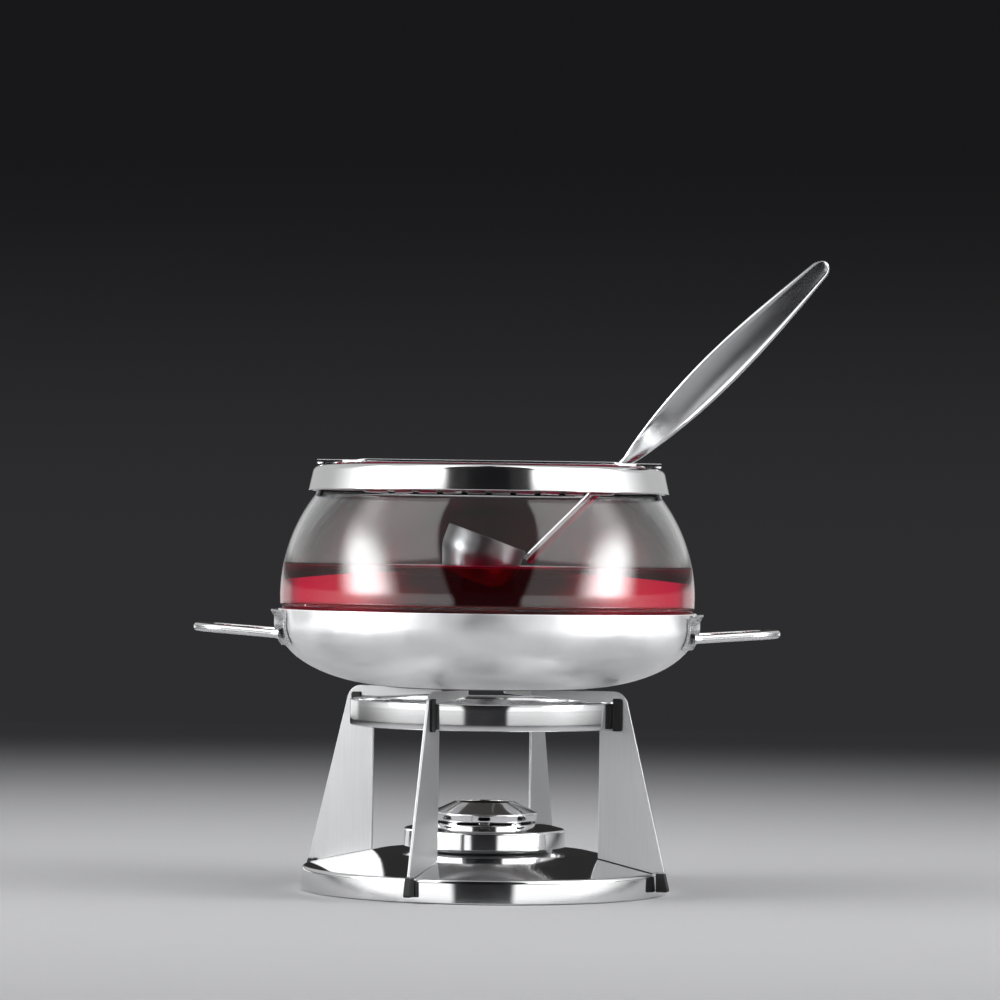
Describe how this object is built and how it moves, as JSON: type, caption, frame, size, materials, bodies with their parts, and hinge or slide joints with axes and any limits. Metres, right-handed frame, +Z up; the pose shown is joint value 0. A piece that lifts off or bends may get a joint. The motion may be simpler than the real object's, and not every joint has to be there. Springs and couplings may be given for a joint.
{
  "type": "flambe punch set with spirit burner stand",
  "caption": "Stainless burner stand with a domed round base, thin radial legs and a top ring, carrying a glass-walled punch pot with sugar tongs and a ladle.",
  "frame": {"origin": "centre of the base plate's underside, on the table", "axes": "+Z up along the axis of the stand and the pot, -Y to the front, +X to the side where the ladle leans out"},
  "size_m": [0.3619, 0.24, 0.3642],
  "materials": {
    "polished_steel": "mirror-polished stainless steel",
    "satin_steel": "satin stainless steel",
    "brushed_steel": "brushed stainless steel",
    "clear_glass": "clear borosilicate glass",
    "seal_silicone": "matte silicone",
    "fuel_wool": "mineral fibre",
    "punch": "clear red liquid, shown in the pot only"
  },
  "bodies": {
    "stand": {"base_tray": "polished_steel", "base_plate": "brushed_steel", "leg_front": "satin_steel", "leg_right": "satin_steel", "leg_back": "satin_steel", "leg_left": "satin_steel", "support_ring": "polished_steel", "ring_clip_front": "seal_silicone", "ring_clip_right": "seal_silicone", "ring_clip_back": "seal_silicone", "ring_clip_left": "seal_silicone", "foot_clip_front": "seal_silicone", "foot_clip_right": "seal_silicone", "foot_clip_back": "seal_silicone", "foot_clip_left": "seal_silicone"},
    "burner": {"burner_cup": "brushed_steel", "burner_wool": "fuel_wool", "burner_gauze": "brushed_steel"},
    "burner_top": {"burner_cover": "polished_steel"},
    "regulator": {"burner_regulator": "polished_steel", "regulator_lever": "brushed_steel"},
    "pot": {"pot_bowl": "polished_steel", "pot_base_disc": "brushed_steel", "lower_gasket": "seal_silicone", "glass_wall": "clear_glass", "upper_gasket": "seal_silicone", "rim_ring": "polished_steel", "handle_bracket_left": "brushed_steel", "handle_bracket_right": "brushed_steel", "handle_left": "polished_steel", "handle_right": "polished_steel"},
    "tongs": {"sugar_tongs": "polished_steel"},
    "ladle": {"ladle_cup": "polished_steel", "ladle_handle": "satin_steel"}
  },
  "joints": [
    {"name": "burner_slide", "type": "slide", "parent": "stand", "child": "burner", "axis": [0.3907, -0.9205, 0], "range_m": [0, 0.17]},
    {"name": "cover_lift", "type": "slide", "parent": "burner", "child": "burner_top", "axis": [0, 0, 1], "range_m": [0, 0.04]},
    {"name": "regulator_turn", "type": "hinge", "parent": "burner_top", "child": "regulator", "pos_m": [0, 0, 0.0404], "axis": [0, 0, 1], "range_deg": [0, 22.5]},
    {"name": "pot_lift", "type": "slide", "parent": "stand", "child": "pot", "axis": [0, 0, 1], "range_m": [0, 0.15]},
    {"name": "tongs_lift", "type": "slide", "parent": "pot", "child": "tongs", "axis": [0, 0, 1], "range_m": [0, 0.12]},
    {"name": "ladle_lift", "type": "slide", "parent": "pot", "child": "ladle", "axis": [0, 0, 1], "range_m": [0, 0.2]}
  ]
}
